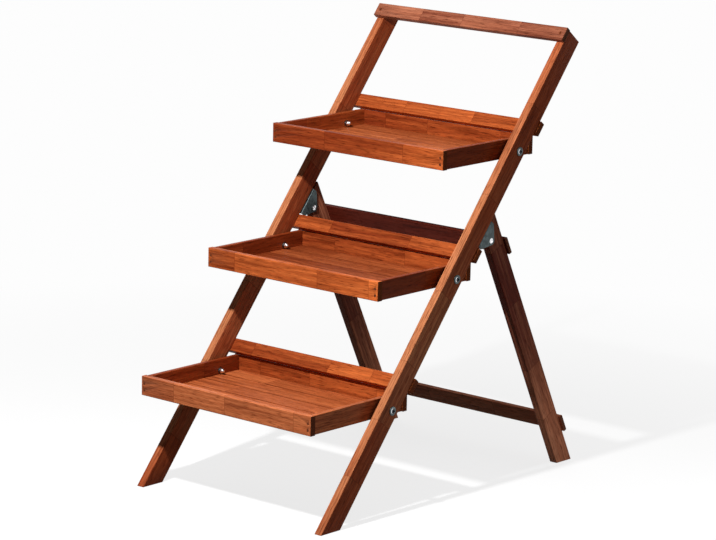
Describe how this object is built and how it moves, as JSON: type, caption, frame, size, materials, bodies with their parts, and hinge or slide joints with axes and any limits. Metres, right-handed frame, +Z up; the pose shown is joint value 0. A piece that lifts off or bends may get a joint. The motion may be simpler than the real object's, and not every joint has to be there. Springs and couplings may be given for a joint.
{
  "type": "plant ladder stand",
  "caption": "Folding wooden ladder stand for plants: leaning rails carry slatted trays that tip up on bolts, over a hinged rear frame, with a handle bar across the top.",
  "frame": {"origin": "on the floor, under the middle of the stand's bounding box", "axes": "+Z up; -Y towards the front, where the rails' feet and the trays' fronts are; +X to the right of a viewer who stands before the stand and faces it"},
  "size_m": [0.5092, 0.8032, 0.9208],
  "materials": {
    "rail_wood": "oiled hardwood",
    "tray_wood": "oiled hardwood",
    "slat_wood": "oiled hardwood",
    "leg_wood": "oiled hardwood",
    "bright_steel": "bright nickel plated",
    "galvanised_steel": "zinc plated",
    "screw_steel": "dull zinc plated"
  },
  "bodies": {
    "frame": {"rail_left": "rail_wood", "rail_right": "rail_wood", "handle_bar": "rail_wood", "handle_screws": "screw_steel", "batten_bottom": "rail_wood", "batten_middle": "rail_wood", "batten_top": "rail_wood", "batten_screws": "screw_steel", "hinge_bracket_left": "galvanised_steel", "hinge_bracket_right": "galvanised_steel", "bracket_screws": "screw_steel", "hinge_pins": "bright_steel", "pivot_bolts": "bright_steel", "pivot_washers": "galvanised_steel", "pivot_spacers": "galvanised_steel", "pivot_cap_nuts": "bright_steel"},
    "tray_bottom": {"tray_bottom_front": "tray_wood", "tray_bottom_back": "tray_wood", "tray_bottom_left": "tray_wood", "tray_bottom_right": "tray_wood", "tray_bottom_slat_1": "slat_wood", "tray_bottom_slat_2": "slat_wood", "tray_bottom_slat_3": "slat_wood", "tray_bottom_slat_4": "slat_wood", "tray_bottom_slat_5": "slat_wood", "tray_bottom_screws": "screw_steel", "tray_bottom_nails": "screw_steel"},
    "tray_middle": {"tray_middle_front": "tray_wood", "tray_middle_back": "tray_wood", "tray_middle_left": "tray_wood", "tray_middle_right": "tray_wood", "tray_middle_slat_1": "slat_wood", "tray_middle_slat_2": "slat_wood", "tray_middle_slat_3": "slat_wood", "tray_middle_slat_4": "slat_wood", "tray_middle_slat_5": "slat_wood", "tray_middle_screws": "screw_steel", "tray_middle_nails": "screw_steel"},
    "tray_top": {"tray_top_front": "tray_wood", "tray_top_back": "tray_wood", "tray_top_left": "tray_wood", "tray_top_right": "tray_wood", "tray_top_slat_1": "slat_wood", "tray_top_slat_2": "slat_wood", "tray_top_slat_3": "slat_wood", "tray_top_slat_4": "slat_wood", "tray_top_slat_5": "slat_wood", "tray_top_screws": "screw_steel", "tray_top_nails": "screw_steel"},
    "rear_frame": {"leg_left": "leg_wood", "leg_right": "leg_wood", "crosspiece_upper": "leg_wood", "crosspiece_lower": "leg_wood", "crosspiece_screws": "screw_steel"}
  },
  "joints": [
    {"name": "tray_bottom_tilt", "type": "hinge", "parent": "frame", "child": "tray_bottom", "pos_m": [0, -0.18658, 0.21143], "axis": [-1, 0, 0], "range_deg": [0, 120]},
    {"name": "tray_middle_tilt", "type": "hinge", "parent": "frame", "child": "tray_middle", "pos_m": [0, 0.00265, 0.44679], "axis": [-1, 0, 0], "range_deg": [0, 120]},
    {"name": "tray_top_tilt", "type": "hinge", "parent": "frame", "child": "tray_top", "pos_m": [0, 0.19189, 0.68215], "axis": [-1, 0, 0], "range_deg": [0, 120]},
    {"name": "rear_frame_fold", "type": "hinge", "parent": "frame", "child": "rear_frame", "pos_m": [0, 0.10932, 0.51003], "axis": [-1, 0, 0], "range_deg": [0, 64.9]}
  ]
}
